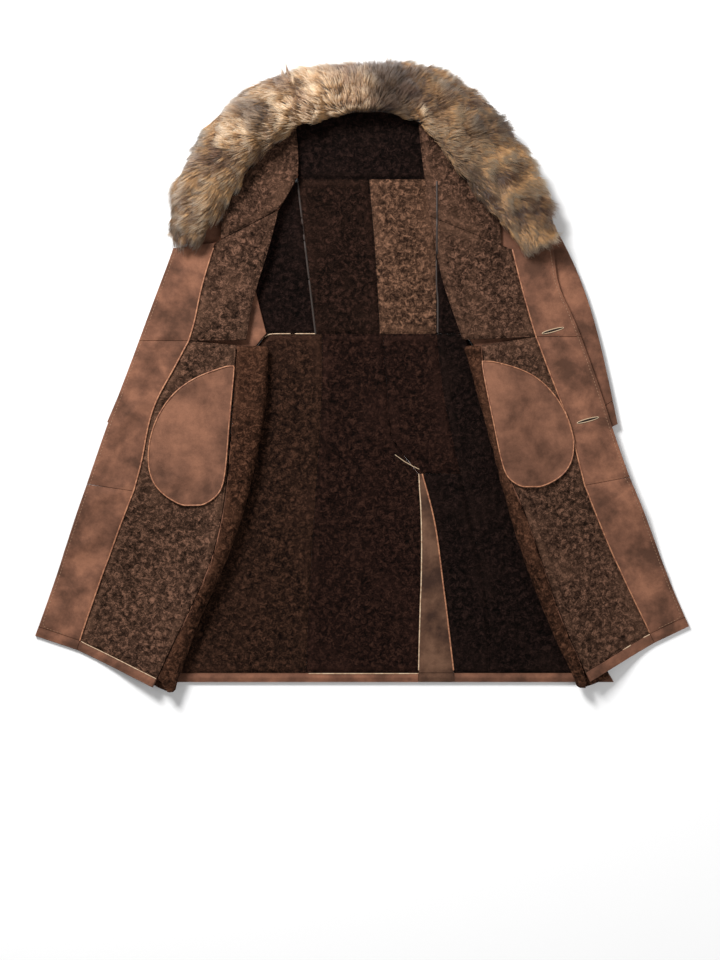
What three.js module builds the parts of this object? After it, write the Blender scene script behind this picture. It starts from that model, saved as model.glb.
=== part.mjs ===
// A shearling coat laid on its back with both fronts turned open, wool side up.
// Millimetres, +Z up. +Y runs from the hem to the collar, and the coat rests on z = 0.
// The back lies on the surface. Each side folds under, comes back as a second layer, and rolls over into
// the open front, which is the third layer. The sleeves lie flat beside the body, under the fronts.
import * as THREE from "three";

// ---- driving dimensions -------------------------------------------------------------------------------
const SKIN = 7; // thickness of the pelt, leather and clipped wool together
const SUEDE = 2; // a suede facing, pocket bag or binding
const SEAM = 0.3; // gap between two pieces at a seam
const PLY = SKIN + 0.6; // from one layer's middle to the next
const BASE_Z = SKIN / 2; // middle of the layer that lies on the surface
const EASED_SEAM = 0.6; // gap along a seam that bends, so that its facets clear each other
const HEM = 17; // depth of the hem binding
const POCKET_CLEAR = 1.6; // room for the front's facets below a pocket bag
const BUTTON = { radius: 14, thick: 4 };
const COLLAR = { clear: 1.2, sides: 10 };

// Heights of the layers' middles.
const MID_Z = BASE_Z + PLY; // the side that is folded under, and the top of the sleeve
const OVER_SIDE_Z = MID_Z + PLY; // a front where it lies on the folded side
// The left front has its buttons below it.
const OVER_SLEEVE_Z = { left: MID_Z + PLY + 5.4, right: MID_Z + PLY };

// ---- lines of the cut ---------------------------------------------------------------------------------
// Each line runs from the top down. A row is [x, y].
const LINES = {
  left: {
    edge: [
      [-350, 236], [-392, 125], [-433, 14], [-472, -88], [-507, -190], [-540, -282], [-577, -393],
      [-609, -482],
    ],
    facing: [
      [-272, 249], [-298, 162], [-316, 79], [-352, 5], [-390, -60], [-409, -171], [-444, -264],
      [-485, -375], [-531, -508],
    ],
    panel: [[-233, 60], [-237, 14], [-244, -97], [-252, -208], [-276, -338], [-337, -467], [-388, -576]],
    roll: [[-174, 60], [-176, -42], [-200, -177], [-215, -240], [-252, -349], [-300, -449], [-350, -590]],
    side: [
      [-178, 80], [-196, 55], [-199, 20], [-210, -50], [-255, -177], [-278, -240], [-320, -349],
      [-368, -449], [-414, -574],
    ],
    back: [[-74, 76], [-75, -42], [-85, -200], [-95, -349], [-105, -560]],
    armhole: [[-155, 308], [-172, 240], [-200, 150], [-215, 70]],
  },
  right: {
    edge: [
      [328, 262], [352, 245], [364, 171], [394, 106], [422, 32], [448, -42], [474, -125],
      [505, -208], [533, -273], [570, -375], [609, -464],
    ],
    facing: [
      [274, 256], [292, 180], [324, 69], [366, -42], [394, -116], [400, -162], [422, -227],
      [477, -356], [544, -495],
    ],
    panel: [
      [222, 60], [226, 23], [255, -116], [274, -190], [307, -264], [339, -365], [376, -467],
      [422, -565],
    ],
    roll: [
      [126, 300], [148, 180], [187, 66], [215, -42], [246, -153], [274, -264], [311, -375],
      [357, -486], [404, -582],
    ],
    side: [
      [192, 80], [207, 55], [216, 20], [242, -45], [287, -153], [326, -264], [372, -375],
      [422, -486], [470, -570],
    ],
    back: [[139, 76], [153, -42], [181, -171], [218, -338], [238, -470], [237, -560]],
  },
};
const CENTRE_UPPER = [[13, 368], [24, 240], [33, 88]];
const CENTRE_LOWER = [[39, 76], [48, -42], [61, -143], [105, -180], [105, -560]];
const VENT_RIGHT = [[112, -180], [130, -227], [150, -375], [172, -560]];
const BACK_ARMHOLE = {
  left: [[-120, 368], [-86, 84]],
  right: [[138, 368], [138, 84]],
};
const WAIST_Y = 80; // seam across the back at the bottom of the armholes
const BACK_HEM_Y = -568;
const NECK_Y = 368; // seam between the back and its stand
const STAND_TOP_Y = 520;

// Sleeve stations from the armhole to the cuff: the points of the outer and the inner side of the flat tube.
const SLEEVES = {
  left: [
    { outer: [-119.8, 362], inner: [-86.6, 80.6] },
    { outer: [-190, 385], inner: [-135, 80.6] },
    { outer: [-250, 365], inner: [-178, 80.6] },
    { outer: [-318, 264], inner: [-200, 56] },
    { outer: [-366, 160], inner: [-214, 23] },
    { outer: [-412, 58], inner: [-244, -26] },
    { outer: [-449, -25], inner: [-284, -80] },
    { outer: [-466, -65], inner: [-318, -125] },
    { outer: [-474, -84], inner: [-332, -146] },
  ],
  right: [
    { outer: [138.5, 362], inner: [138.5, 80.6] },
    { outer: [205, 385], inner: [172, 80.6] },
    { outer: [270, 370], inner: [192, 80.6] },
    { outer: [330, 325], inner: [213, 50] },
    { outer: [374, 254], inner: [228, 23] },
    { outer: [417, 158], inner: [256, -23] },
    { outer: [446, 51], inner: [292, -75] },
    { outer: [466, -45], inner: [324, -125] },
    { outer: [475, -88], inner: [338, -150] },
  ],
};
const CUFF_STATION = 7; // the sleeves' cuffs begin here
const TOP_STATION = 2; // the top of a sleeve begins here, at the front's armhole

// Heights of the stations that all the lower back's panels share. The vent begins at the sixth.
const BACK_STATIONS = [WAIST_Y, 55, 20, -50, -115, -180, -260, -340, -420, -490, BACK_HEM_Y + HEM];
const VENT_STATION = 5;
// Stations down a front, as shares of its upper and its lower half. The facing's joint is at one of them.
const UPPER_SHARES = [0, 1 / 6, 2 / 6, 3 / 6, 4 / 6, 5 / 6, 1];
const LOWER_SHARES = [0, 0.1, 0.2, 0.3, 0.4, 0.5, 0.625, 0.75, 0.875, 1];
const JOINT_STATION = 5;

// Radius of the soft roll where a front turns over, by its distance up the coat.
const ROLLS = {
  left: [
    { y: -600, radius: 9 }, { y: -350, radius: 15 }, { y: -100, radius: 12 },
    { y: 70, radius: 6 }, { y: 600, radius: 6 },
  ],
  right: [
    { y: -600, radius: 9 }, { y: -350, radius: 16 }, { y: -60, radius: 13 },
    { y: 70, radius: 6 }, { y: 300, radius: 6 },
  ],
};
const ROLL_UNDER = 6; // the least width of the folded side below a roll
const ROLL_SPREAD = 110; // how far from the roll the front takes to come down to its support

// Pocket bags. A row is the height up the coat and the two sides of the bag there.
const POCKETS = {
  left: [
    { y: 20, from: -250, to: -236 }, { y: 0, from: -312, to: -237 }, { y: -35, from: -358, to: -240 },
    { y: -90, from: -390, to: -244 }, { y: -150, from: -400, to: -248 }, { y: -195, from: -392, to: -253 },
    { y: -222, from: -368, to: -262 }, { y: -240, from: -335, to: -292 },
  ],
  right: [
    { y: 28, from: 221, to: 240 }, { y: 14, from: 222, to: 305 }, { y: -20, from: 228, to: 350 },
    { y: -70, from: 238, to: 382 }, { y: -120, from: 248, to: 396 }, { y: -165, from: 258, to: 390 },
    { y: -192, from: 268, to: 364 }, { y: -206, from: 292, to: 330 },
  ],
};

// Stations round the fur collar: its middle, how high its underside is, half its width and its loft.
const COLLAR_STATIONS = [
  { x: -318, y: 262, under: 32, half: 34, loft: 26 },
  { x: -310, y: 300, under: 32, half: 46, loft: 36 },
  { x: -282, y: 365, under: 31, half: 54, loft: 42 },
  { x: -238, y: 430, under: 27, half: 58, loft: 44 },
  { x: -170, y: 492, under: 18, half: 58, loft: 46 },
  { x: -80, y: 522, under: 10, half: 54, loft: 46 },
  { x: 10, y: 530, under: 8.5, half: 50, loft: 44 },
  { x: 95, y: 527, under: 10, half: 54, loft: 46 },
  { x: 166, y: 482, under: 18, half: 62, loft: 48 },
  { x: 220, y: 420, under: 29, half: 66, loft: 46 },
  { x: 268, y: 352, under: 33, half: 62, loft: 42 },
  { x: 305, y: 298, under: 33, half: 50, loft: 36 },
  { x: 322, y: 258, under: 33, half: 36, loft: 26 },
];

const COLOURS = {
  wool: { color: 0x33200f, roughness: 0.95 },
  darkWool: { color: 0x1d120b, roughness: 0.95 },
  suede: { color: 0x6e4733, roughness: 0.85 },
  fur: { color: 0x7d6143, roughness: 0.8 },
  horn: { color: 0x2c1a10, roughness: 0.4 },
};

// ---- curves and heights -------------------------------------------------------------------------------
const smooth = (from, to, v) => THREE.MathUtils.smoothstep(v, from, to);

// The x of a line at a height y, on a smooth curve through its rows.
function acrossAt(line, y) {
  const last = line.length - 1;
  if (y >= line[0][1]) return line[0][0];
  if (y <= line[last][1]) return line[last][0];
  let i = 0;
  while (line[i + 1][1] > y) i += 1;
  const [a, b] = [line[i], line[i + 1]];
  const before = line[Math.max(0, i - 1)];
  const after = line[Math.min(last, i + 2)];
  const span = a[1] - b[1];
  const slopeA = (b[0] - before[0]) / (before[1] - b[1]);
  const slopeB = (after[0] - a[0]) / (a[1] - after[1]);
  const t = (a[1] - y) / span;
  const h = [2 * t ** 3 - 3 * t ** 2 + 1, t ** 3 - 2 * t ** 2 + t, 3 * t ** 2 - 2 * t ** 3, t ** 3 - t ** 2];
  return h[0] * a[0] + h[1] * slopeA * span + h[2] * b[0] + h[3] * slopeB * span;
}

function valueAt(rows, y, key) {
  for (let i = 0; i + 1 < rows.length; i += 1) {
    const [a, b] = [rows[i], rows[i + 1]];
    if (y <= b.y) return THREE.MathUtils.lerp(a[key], b[key], smooth(a.y, b.y, y));
  }
  return rows[rows.length - 1][key];
}

// Height of the middle of an open front. It stands highest at its roll, lies on the folded side and on the
// sleeve, and comes down to the surface past them.
function frontZ(side, x, y) {
  const sign = side === "left" ? -1 : 1;
  const fromRoll = sign * (x - acrossAt(LINES[side].roll, y));
  const pastSide = sign * (x - acrossAt(LINES[side].side, y));
  const onSleeve = smooth(-345, -248, y);
  const onSide = 1 - smooth(4, 95, pastSide);
  const floorToSide = THREE.MathUtils.lerp(BASE_Z, OVER_SIDE_Z, onSide);
  const support = THREE.MathUtils.lerp(floorToSide, OVER_SLEEVE_Z[side], onSleeve);
  const radius = valueAt(ROLLS[side], y, "radius");
  const top = MID_Z + 2 * radius;
  const near = 1 - smooth(radius + SKIN / 2, ROLL_SPREAD, fromRoll);
  return THREE.MathUtils.lerp(support, Math.max(top, support), near);
}

// The front's outward direction at a point, from the slope of its height.
function frontNormal(side, x, y) {
  const step = 1;
  const slopeX = (frontZ(side, x + step, y) - frontZ(side, x - step, y)) / (2 * step);
  const slopeY = (frontZ(side, x, y + step) - frontZ(side, x, y - step)) / (2 * step);
  return new THREE.Vector3(-slopeX, -slopeY, 1).normalize();
}

// A point of a front's middle. It carries the surface's own normal, so that pieces meet cleanly at a seam.
function frontPoint(side, x, y, lift = 0) {
  const point = new THREE.Vector3(x, y, frontZ(side, x, y));
  point.normal = frontNormal(side, x, y);
  return point.addScaledVector(point.normal, lift);
}

// ---- solids -------------------------------------------------------------------------------------------
// A closed wall of even thickness about a grid of middle points. It is thickened along the points' normals
// where they carry one, and along the grid's own elsewhere.
function wall(grid, thickness) {
  const [rows, columns] = [grid.length, grid[0].length];
  const normal = (i, j) => {
    if (grid[i][j].normal) return grid[i][j].normal;
    const down = grid[Math.min(i + 1, rows - 1)][j].clone().sub(grid[Math.max(i - 1, 0)][j]);
    const along = grid[i][Math.min(j + 1, columns - 1)].clone().sub(grid[i][Math.max(j - 1, 0)]);
    return down.cross(along).normalize();
  };
  const positions = [];
  for (const sign of [1, -1]) {
    for (let i = 0; i < rows; i += 1) {
      for (let j = 0; j < columns; j += 1) {
        const p = grid[i][j].clone().addScaledVector(normal(i, j), (sign * thickness) / 2);
        positions.push(p.x, p.y, p.z);
      }
    }
  }
  const at = (face, i, j) => face * rows * columns + i * columns + j;
  const index = [];
  const quad = (a, b, c, d) => index.push(a, b, c, a, c, d);
  for (let i = 0; i + 1 < rows; i += 1) {
    for (let j = 0; j + 1 < columns; j += 1) {
      quad(at(0, i, j), at(0, i, j + 1), at(0, i + 1, j + 1), at(0, i + 1, j));
      quad(at(1, i, j), at(1, i + 1, j), at(1, i + 1, j + 1), at(1, i, j + 1));
    }
  }
  for (let i = 0; i + 1 < rows; i += 1) {
    quad(at(0, i, 0), at(0, i + 1, 0), at(1, i + 1, 0), at(1, i, 0));
    quad(at(0, i + 1, columns - 1), at(0, i, columns - 1), at(1, i, columns - 1), at(1, i + 1, columns - 1));
  }
  for (let j = 0; j + 1 < columns; j += 1) {
    quad(at(0, 0, j + 1), at(0, 0, j), at(1, 0, j), at(1, 0, j + 1));
    quad(at(0, rows - 1, j), at(0, rows - 1, j + 1), at(1, rows - 1, j + 1), at(1, rows - 1, j));
  }
  return facingOut(positions, index);
}

function facingOut(positions, index) {
  let volume = 0;
  const corner = (k) => new THREE.Vector3().fromArray(positions, index[k] * 3);
  for (let k = 0; k < index.length; k += 3) volume += corner(k).dot(corner(k + 1).cross(corner(k + 2)));
  if (volume < 0) {
    for (let k = 0; k < index.length; k += 3) [index[k + 1], index[k + 2]] = [index[k + 2], index[k + 1]];
  }
  const geometry = new THREE.BufferGeometry();
  geometry.setAttribute("position", new THREE.Float32BufferAttribute(positions, 3));
  geometry.setIndex(index);
  return geometry;
}

const evenShares = (rows) => Array.from({ length: rows + 1 }, (_, i) => i / rows);

// A grid between two lines of the cut. Each line gives the x at a height, top and bottom give the heights of
// the panel's corners at its two lines, and shares are the stations between them.
function panelGrid({ from, to, top, bottom, shares, columns, point, gap = SEAM }) {
  const grid = [];
  for (const t of shares) {
    const inset = (SEAM / 2) * (1 - 2 * t);
    const yFrom = THREE.MathUtils.lerp(top[0], bottom[0], t) - inset;
    const yTo = THREE.MathUtils.lerp(top[1], bottom[1], t) - inset;
    const xFrom = acrossAt(from, yFrom) + gap / 2;
    const xTo = acrossAt(to, yTo) - gap / 2;
    const row = [];
    for (let j = 0; j <= columns; j += 1) {
      const s = j / columns;
      row.push(point(THREE.MathUtils.lerp(xFrom, xTo, s), THREE.MathUtils.lerp(yFrom, yTo, s)));
    }
    grid.push(row);
  }
  return grid;
}

const coat = new THREE.Group();

function add(name, geometry, finish) {
  const mesh = new THREE.Mesh(geometry, new THREE.MeshStandardMaterial(COLOURS[finish]));
  mesh.name = name;
  coat.add(mesh);
}

const onSurface = (x, y) => new THREE.Vector3(x, y, BASE_Z);

function addPanel(name, finish, spec, thickness = SKIN) {
  const grid = panelGrid({ shares: evenShares(6), columns: 2, point: onSurface, ...spec });
  add(name, wall(grid, thickness), finish);
}

// The part of the lower back between two of its stations, as a panel's top, bottom and shares.
function backStretch(first, last) {
  const ys = BACK_STATIONS.slice(first, last + 1);
  const [top, bottom] = [ys[0], ys[ys.length - 1]];
  return { top: [top, top], bottom: [bottom, bottom], shares: ys.map((y) => (y - top) / (bottom - top)) };
}

// ---- the back -----------------------------------------------------------------------------------------
function buildBack() {
  const [left, right] = [LINES.left, LINES.right];
  const upper = { top: [NECK_Y, NECK_Y], bottom: [WAIST_Y, WAIST_Y] };
  addPanel("back_upper_left", "wool", { ...upper, from: BACK_ARMHOLE.left, to: CENTRE_UPPER });
  addPanel("back_upper_right", "wool", { ...upper, from: CENTRE_UPPER, to: BACK_ARMHOLE.right });
  const last = BACK_STATIONS.length - 1;
  const lower = backStretch(0, last);
  const aboveVent = backStretch(0, VENT_STATION);
  const besideVent = backStretch(VENT_STATION, last);
  addPanel("back_side_left", "wool", { ...lower, from: left.side, to: left.back });
  addPanel("back_centre_left", "darkWool", { ...lower, from: left.back, to: CENTRE_LOWER });
  addPanel("back_centre_right", "darkWool", { ...aboveVent, from: CENTRE_LOWER, to: right.back });
  addPanel("vent_facing", "suede", { ...besideVent, from: CENTRE_LOWER, to: VENT_RIGHT, columns: 1 });
  addPanel("back_skirt_right", "darkWool", { ...besideVent, from: VENT_RIGHT, to: right.back });
  addPanel("back_side_right", "darkWool", { ...lower, from: right.back, to: right.side });
  const hemTop = BACK_STATIONS[last];
  const hem = { top: [hemTop, hemTop], bottom: [BACK_HEM_Y, BACK_HEM_Y], shares: evenShares(1), columns: 3 };
  addPanel("hem_back_left", "suede", { ...hem, from: left.side, to: CENTRE_LOWER });
  addPanel("hem_vent", "suede", { ...hem, from: CENTRE_LOWER, to: VENT_RIGHT, columns: 1 });
  addPanel("hem_back_right", "suede", { ...hem, from: VENT_RIGHT, to: right.side });
  const standLeft = [[-165, STAND_TOP_Y], [-120, NECK_Y]];
  const standRight = [[165, STAND_TOP_Y], [138, NECK_Y]];
  const stand = { top: [STAND_TOP_Y, STAND_TOP_Y], bottom: [NECK_Y, NECK_Y], columns: 4 };
  addPanel("stand_back", "darkWool", { ...stand, from: standLeft, to: standRight, shares: evenShares(3) });
}

// ---- a front that is turned open ----------------------------------------------------------------------
// Heights where a front's pieces begin and end: at its facing, at its inner seam or roll, and at its edge.
const FRONT = {
  left: {
    top: { facing: 248, inner: 308, edge: 238 },
    waist: { facing: 66, inner: 62, edge: 66, armhole: 68 },
    hem: { facing: -508, inner: -576, edge: -482, roll: -586, side: -566 },
  },
  right: {
    top: { facing: 236, inner: 296, edge: 244 },
    waist: { facing: 74, inner: 62, edge: 74, armhole: 68 },
    hem: { facing: -495, inner: -565, edge: -464, roll: -578, side: -560 },
  },
};

// Puts a spec's two sides in order of x, whichever way the front lies.
function across(side, outer, inner) {
  const flip = (a, b) => (side === "left" ? [a, b] : [b, a]);
  const [from, to] = flip(outer.line, inner.line);
  return {
    from,
    to,
    top: flip(outer.top, inner.top),
    bottom: flip(outer.bottom, inner.bottom),
    point: (x, y) => frontPoint(side, x, y),
  };
}

function buildFront(side) {
  const line = LINES[side];
  const { top, waist, hem } = FRONT[side];
  const bindingTop = hem.facing + HEM;
  const joint = {
    facing: THREE.MathUtils.lerp(waist.facing, bindingTop, LOWER_SHARES[JOINT_STATION]),
    edge: THREE.MathUtils.lerp(waist.edge, hem.edge + HEM, LOWER_SHARES[JOINT_STATION]),
  };
  const upperEdge = { line: line.edge, top: top.edge, bottom: waist.edge };
  const upperFacing = { line: line.facing, top: top.facing, bottom: waist.facing };
  const innerLine = side === "left" ? line.armhole : line.roll;
  const upperInner = { line: innerLine, top: top.inner, bottom: waist.armhole };
  const wide = { columns: 4, shares: UPPER_SHARES };
  addPanel(`front_upper_${side}`, "wool", { ...across(side, upperFacing, upperInner), ...wide });
  const narrow = { columns: 1, shares: UPPER_SHARES };
  addPanel(`facing_${side}_top`, "suede", { ...across(side, upperEdge, upperFacing), ...narrow });
  const toJoint = LOWER_SHARES.slice(0, JOINT_STATION + 1).map((t) => t / LOWER_SHARES[JOINT_STATION]);
  const middleEdge = { line: line.edge, top: waist.edge, bottom: joint.edge };
  const middleFacing = { line: line.facing, top: waist.facing, bottom: joint.facing };
  const middlePart = { columns: 1, shares: toJoint };
  addPanel(`facing_${side}_middle`, "suede", { ...across(side, middleEdge, middleFacing), ...middlePart });
  const rest = 1 - LOWER_SHARES[JOINT_STATION];
  const fromJoint = LOWER_SHARES.slice(JOINT_STATION).map((t) => (t - LOWER_SHARES[JOINT_STATION]) / rest);
  const lowerEdge = { line: line.edge, top: joint.edge, bottom: hem.edge + HEM };
  const lowerFacing = { line: line.facing, top: joint.facing, bottom: bindingTop };
  const lowerPart = { columns: 1, shares: fromJoint, gap: EASED_SEAM };
  addPanel(`facing_${side}_lower`, "suede", { ...across(side, lowerEdge, lowerFacing), ...lowerPart });
  const panelFacing = { line: line.facing, top: waist.facing, bottom: bindingTop };
  const panelInner = { line: line.panel, top: waist.inner - 4, bottom: hem.inner + HEM };
  const panelPart = { columns: 4, shares: LOWER_SHARES };
  addPanel(`front_lower_${side}`, "wool", { ...across(side, panelFacing, panelInner), ...panelPart });
  const binding = { shares: evenShares(1), columns: 4 };
  const hemFacing = { line: line.facing, top: bindingTop, bottom: hem.facing };
  const hemInner = { line: line.panel, top: hem.inner + HEM, bottom: hem.inner };
  addPanel(`hem_front_${side}`, "suede", { ...across(side, hemFacing, hemInner), ...binding });
  const edgeEnd = { line: line.edge, top: hem.edge + HEM, bottom: hem.edge };
  addPanel(`hem_facing_${side}`, "suede", { ...across(side, edgeEnd, hemFacing), ...binding, columns: 1 });
}

// The side of a front: from its seam with the front panel, over the roll and back underneath to the fold at
// the coat's side. Its rows are whole sections, from the seam round to the fold.
function buildRoll(side) {
  const sign = side === "left" ? -1 : 1;
  const line = LINES[side];
  const { waist, hem } = FRONT[side];
  const turnSteps = 6;
  const grid = LOWER_SHARES.map((t) => {
    const ySeam = THREE.MathUtils.lerp(waist.inner - 4, hem.inner + HEM, t);
    const yRoll = THREE.MathUtils.lerp(waist.inner - 4, hem.roll, t);
    const ySide = THREE.MathUtils.lerp(waist.inner - 10, hem.side, t);
    const radius = valueAt(ROLLS[side], yRoll, "radius");
    const centreX = acrossAt(line.roll, yRoll) + sign * (radius + SKIN / 2);
    const seamX = acrossAt(line.panel, ySeam) - sign * EASED_SEAM;
    const mix = THREE.MathUtils.lerp;
    const row = [0, 0.5].map((s) => frontPoint(side, mix(seamX, centreX, s), mix(ySeam, yRoll, s)));
    for (let k = 0; k <= turnSteps; k += 1) {
      const turn = (Math.PI * k) / turnSteps;
      const x = centreX - sign * radius * Math.sin(turn);
      row.push(new THREE.Vector3(x, yRoll, MID_Z + radius + radius * Math.cos(turn)));
    }
    const foldX = sign * acrossAt(line.side, ySide) - 2;
    const underX = sign * Math.max(foldX, sign * centreX + ROLL_UNDER);
    row.push(new THREE.Vector3(THREE.MathUtils.lerp(centreX, underX, 0.5), (yRoll + ySide) / 2, MID_Z));
    row.push(new THREE.Vector3(underX, ySide, MID_Z));
    // The grid's columns run with x on both sides, so that its normals agree with the front's.
    return side === "left" ? row : row.reverse();
  });
  add(`front_side_${side}`, wall(grid, SKIN), "wool");
}

// ---- stands beside the neck ---------------------------------------------------------------------------
// The strip of the front's neck edge beside the neck opening. It lies on the front's own height at its foot
// and comes down to the stand of the back at its top.
function buildStand(side, from, to, top, bottom) {
  const point = (x, y) => {
    const low = frontZ(side, x, Math.min(y, 300));
    return new THREE.Vector3(x, y, THREE.MathUtils.lerp(low, BASE_Z + PLY, smooth(320, 430, y)));
  };
  addPanel(`stand_${side}`, "wool", { from, to, top: [top, top], bottom, shares: evenShares(5), point });
}

// ---- sleeves ------------------------------------------------------------------------------------------
// Rows of a flat sleeve from one station to another, drawn in by a seam's gap at each end.
function sleeveGrid(stations, from, to, height, columns) {
  const grid = [];
  const inset = 0.004;
  for (let i = from; i <= to; i += 1) {
    const s = i === from ? inset : i === to ? -inset : 0;
    const other = stations[s > 0 ? i + 1 : Math.max(i - 1, 0)];
    const mix = (key) => stations[i][key].map((v, k) => THREE.MathUtils.lerp(v, other[key][k], Math.abs(s)));
    const [outer, inner] = [mix("outer"), mix("inner")];
    const row = [];
    for (let j = 0; j <= columns; j += 1) {
      const t = j / columns;
      row.push(new THREE.Vector3(...outer, height).lerp(new THREE.Vector3(...inner, height), t));
    }
    grid.push(row);
  }
  return grid;
}

function buildSleeve(side) {
  const stations = SLEEVES[side];
  const last = stations.length - 1;
  add(`sleeve_${side}_under`, wall(sleeveGrid(stations, 0, CUFF_STATION, BASE_Z, 3), SKIN), "darkWool");
  add(`sleeve_${side}_top`, wall(sleeveGrid(stations, TOP_STATION, CUFF_STATION, MID_Z, 3), SKIN), "suede");
  add(`cuff_${side}_under`, wall(sleeveGrid(stations, CUFF_STATION, last, BASE_Z, 3), SKIN), "suede");
  add(`cuff_${side}_top`, wall(sleeveGrid(stations, CUFF_STATION, last, MID_Z, 3), SKIN), "suede");
}

// ---- pocket bags and buttons --------------------------------------------------------------------------
function buildPocket(side) {
  const lift = (SKIN + SUEDE) / 2 + SEAM + POCKET_CLEAR;
  const columns = 5;
  const grid = POCKETS[side].map(({ y, from, to }) =>
    evenShares(columns).map((s) => frontPoint(side, THREE.MathUtils.lerp(from, to, s), y, lift)),
  );
  add(`pocket_bag_${side}`, wall(grid, SUEDE), "suede");
}

function buildButtons() {
  const places = [{ name: "button_upper", x: -385, y: 70 }, { name: "button_lower", x: -440, y: -90 }];
  for (const { name, x, y } of places) {
    const disc = new THREE.CylinderGeometry(BUTTON.radius, BUTTON.radius, BUTTON.thick, 20);
    disc.rotateX(Math.PI / 2);
    disc.translate(x, y, OVER_SLEEVE_Z.left - SKIN / 2 - BUTTON.thick / 2 - SEAM);
    add(name, disc, "horn");
  }
}

// ---- fur collar ---------------------------------------------------------------------------------------
// Closed lofts of flattened rounds along the collar, each with a flat underside: its two ends and its back.
const COLLAR_PARTS = [
  { name: "fur_collar_left", from: 0, to: 9 },
  { name: "fur_collar_back", from: 9, to: 15 },
  { name: "fur_collar_right", from: 15, to: 24 },
];

function collarRing(path, at, shift) {
  const count = COLLAR_STATIONS.length - 1;
  const k = Math.min(Math.floor(at), count - 1);
  const mix = (key) => THREE.MathUtils.lerp(COLLAR_STATIONS[k][key], COLLAR_STATIONS[k + 1][key], at - k);
  const ahead = path.getTangent(at / count).setZ(0).normalize();
  const centre = path.getPoint(at / count).addScaledVector(ahead, shift);
  const out = new THREE.Vector3(-ahead.y, ahead.x, 0);
  const ring = [];
  for (let j = 0; j < COLLAR.sides; j += 1) {
    const turn = (2 * Math.PI * j) / COLLAR.sides;
    const up = Math.max(Math.sin(turn), -0.12) * mix("loft") * 0.88 + 0.12 * mix("loft");
    const point = centre.clone().addScaledVector(out, Math.cos(turn) * mix("half"));
    ring.push(point.add(new THREE.Vector3(0, 0, up + COLLAR.clear)));
  }
  return ring;
}

function buildCollar({ name, from, to }) {
  const path = new THREE.CatmullRomCurve3(COLLAR_STATIONS.map((s) => new THREE.Vector3(s.x, s.y, s.under)));
  const rings = [];
  for (let i = from; i <= to; i += 1) {
    const shift = i === from ? SEAM / 2 : i === to ? -SEAM / 2 : 0;
    rings.push(collarRing(path, i / 2, shift));
  }
  const positions = rings.flat().flatMap((p) => [p.x, p.y, p.z]);
  const index = [];
  const n = COLLAR.sides;
  for (let i = 0; i + 1 < rings.length; i += 1) {
    for (let j = 0; j < n; j += 1) {
      const [a, b] = [i * n + j, i * n + ((j + 1) % n)];
      index.push(a, b, b + n, a, b + n, a + n);
    }
  }
  const end = (rings.length - 1) * n;
  for (let j = 1; j + 1 < n; j += 1) {
    index.push(0, j + 1, j);
    index.push(end, end + j, end + j + 1);
  }
  add(name, facingOut(positions, index), "fur");
}

buildBack();
for (const side of ["left", "right"]) {
  buildFront(side);
  buildSleeve(side);
  buildPocket(side);
}
for (const side of ["left", "right"]) buildRoll(side);
const STAND_LINES = {
  left: {
    outer: [[-150, 470], [-200, 400], [-262, 312]],
    inner: [[-124, 470], [-118, 410], [-120, 370], [-155, 311]],
  },
  right: {
    inner: [[105, 470], [112, 400], [126, 299]],
    outer: [[150, 470], [190, 400], [258, 300]],
  },
};
buildStand("left", STAND_LINES.left.outer, STAND_LINES.left.inner, 470, [254.2, 308.9]);
buildStand("right", STAND_LINES.right.inner, STAND_LINES.right.outer, 470, [297.2, 244.6]);
buildButtons();
for (const part of COLLAR_PARTS) buildCollar(part);

// The part's origin is at the middle of its box, on the surface.
const box = new THREE.Box3().setFromObject(coat);
coat.position.set(-(box.min.x + box.max.x) / 2, -(box.min.y + box.max.y) / 2, -box.min.z);

export default coat;
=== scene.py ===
"""A shearling coat laid open on its back, wool side up, with a long-haired fur collar."""

import math

import bmesh
import bpy
import numpy as np
from mathutils import Matrix, Vector, noise
from mathutils.bvhtree import BVHTree
from mathutils.kdtree import KDTree


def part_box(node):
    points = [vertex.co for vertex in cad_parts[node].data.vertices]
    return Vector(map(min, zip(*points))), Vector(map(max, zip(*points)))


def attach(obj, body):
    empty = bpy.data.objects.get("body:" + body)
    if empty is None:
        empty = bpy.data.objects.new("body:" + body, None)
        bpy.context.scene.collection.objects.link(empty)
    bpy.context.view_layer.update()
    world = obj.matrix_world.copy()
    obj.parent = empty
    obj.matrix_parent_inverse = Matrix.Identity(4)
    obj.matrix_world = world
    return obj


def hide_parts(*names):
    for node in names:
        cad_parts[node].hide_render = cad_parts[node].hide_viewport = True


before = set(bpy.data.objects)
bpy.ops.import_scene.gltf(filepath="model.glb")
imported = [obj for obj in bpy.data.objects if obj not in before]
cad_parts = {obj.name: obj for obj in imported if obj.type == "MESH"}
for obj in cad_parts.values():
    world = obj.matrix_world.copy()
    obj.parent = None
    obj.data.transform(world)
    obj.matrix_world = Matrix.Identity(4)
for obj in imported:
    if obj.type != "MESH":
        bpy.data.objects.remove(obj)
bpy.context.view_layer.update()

bl_info = {
    "name": "Laid Shearling Coat",
    "version": (1, 0, 0),
    "blender": (4, 2, 0),
    "location": "3D View > Sidebar > Coat",
    "description": "Dresses the coat's plain panels in wool, suede and fur",
    "category": "Object",
}

MM = 0.001
SIDES = ("left", "right")
PELT = 7 * MM  # leather and clipped wool together
BAG = 2 * MM  # a suede pocket bag
WIDEST_ROLL = 45 * MM  # a rolled panel's lower face meets itself within this
ABOVE_ALL = 0.4  # a height above the whole coat, to look down from
GAP_HEIGHT = 12 * MM  # about where the panels beside an open seam are
TRIM_STEP = 6 * MM  # from one point of a piping to the next

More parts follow.
